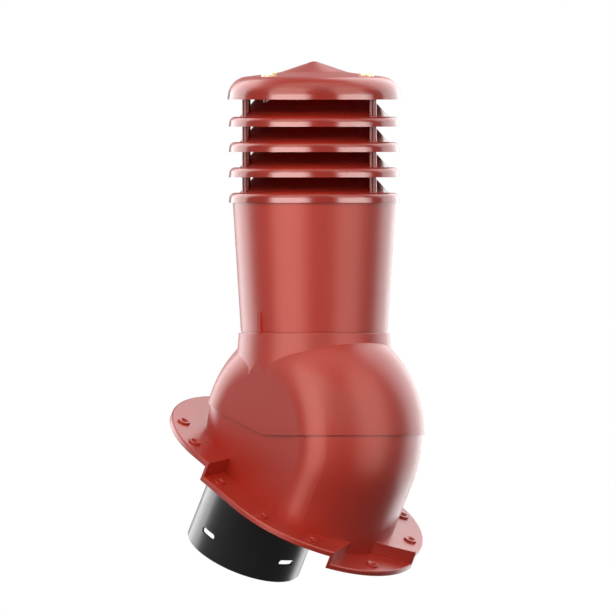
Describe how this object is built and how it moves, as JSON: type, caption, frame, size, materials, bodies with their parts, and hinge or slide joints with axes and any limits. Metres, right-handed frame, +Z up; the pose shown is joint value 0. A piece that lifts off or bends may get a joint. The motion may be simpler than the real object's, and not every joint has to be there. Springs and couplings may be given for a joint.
{
  "type": "roof ventilation chimney",
  "caption": "Roof ventilation chimney with a stepped roof flange, a tilting drum hood, a tapered insulated tube, a louvred head under a round cap and a slotted duct stub.",
  "frame": {"origin": "where the duct stub's axis crosses the plane of the flange's seat on the roof", "axes": "+X down the slope, +Y across it and +Z straight up along the tube"},
  "size_m": [0.3462, 0.283, 0.6562],
  "materials": {
    "red_plastic": "satin",
    "black_plastic": "satin",
    "seal_rubber": "matte",
    "foam": "matte",
    "brass": "satin"
  },
  "bodies": {
    "base": {"roof_base": "red_plastic", "duct_stub": "black_plastic", "stub_seal": "seal_rubber"},
    "hood": {"tilt_hood": "red_plastic", "outer_tube": "red_plastic", "inner_duct": "black_plastic", "insulation_sleeve": "foam", "head_base_ring": "red_plastic", "louvre_ring_lower": "red_plastic", "louvre_ring_middle": "red_plastic", "louvre_ring_upper": "red_plastic", "vent_cap": "red_plastic", "cap_screws": "brass", "cap_washers": "brass"}
  },
  "joints": [
    {"name": "hood_tilt", "type": "hinge", "parent": "base", "child": "hood", "pos_m": [0.07297, 0, 0.0484], "axis": [0, 1, 0], "range_deg": [-10, 15]}
  ]
}
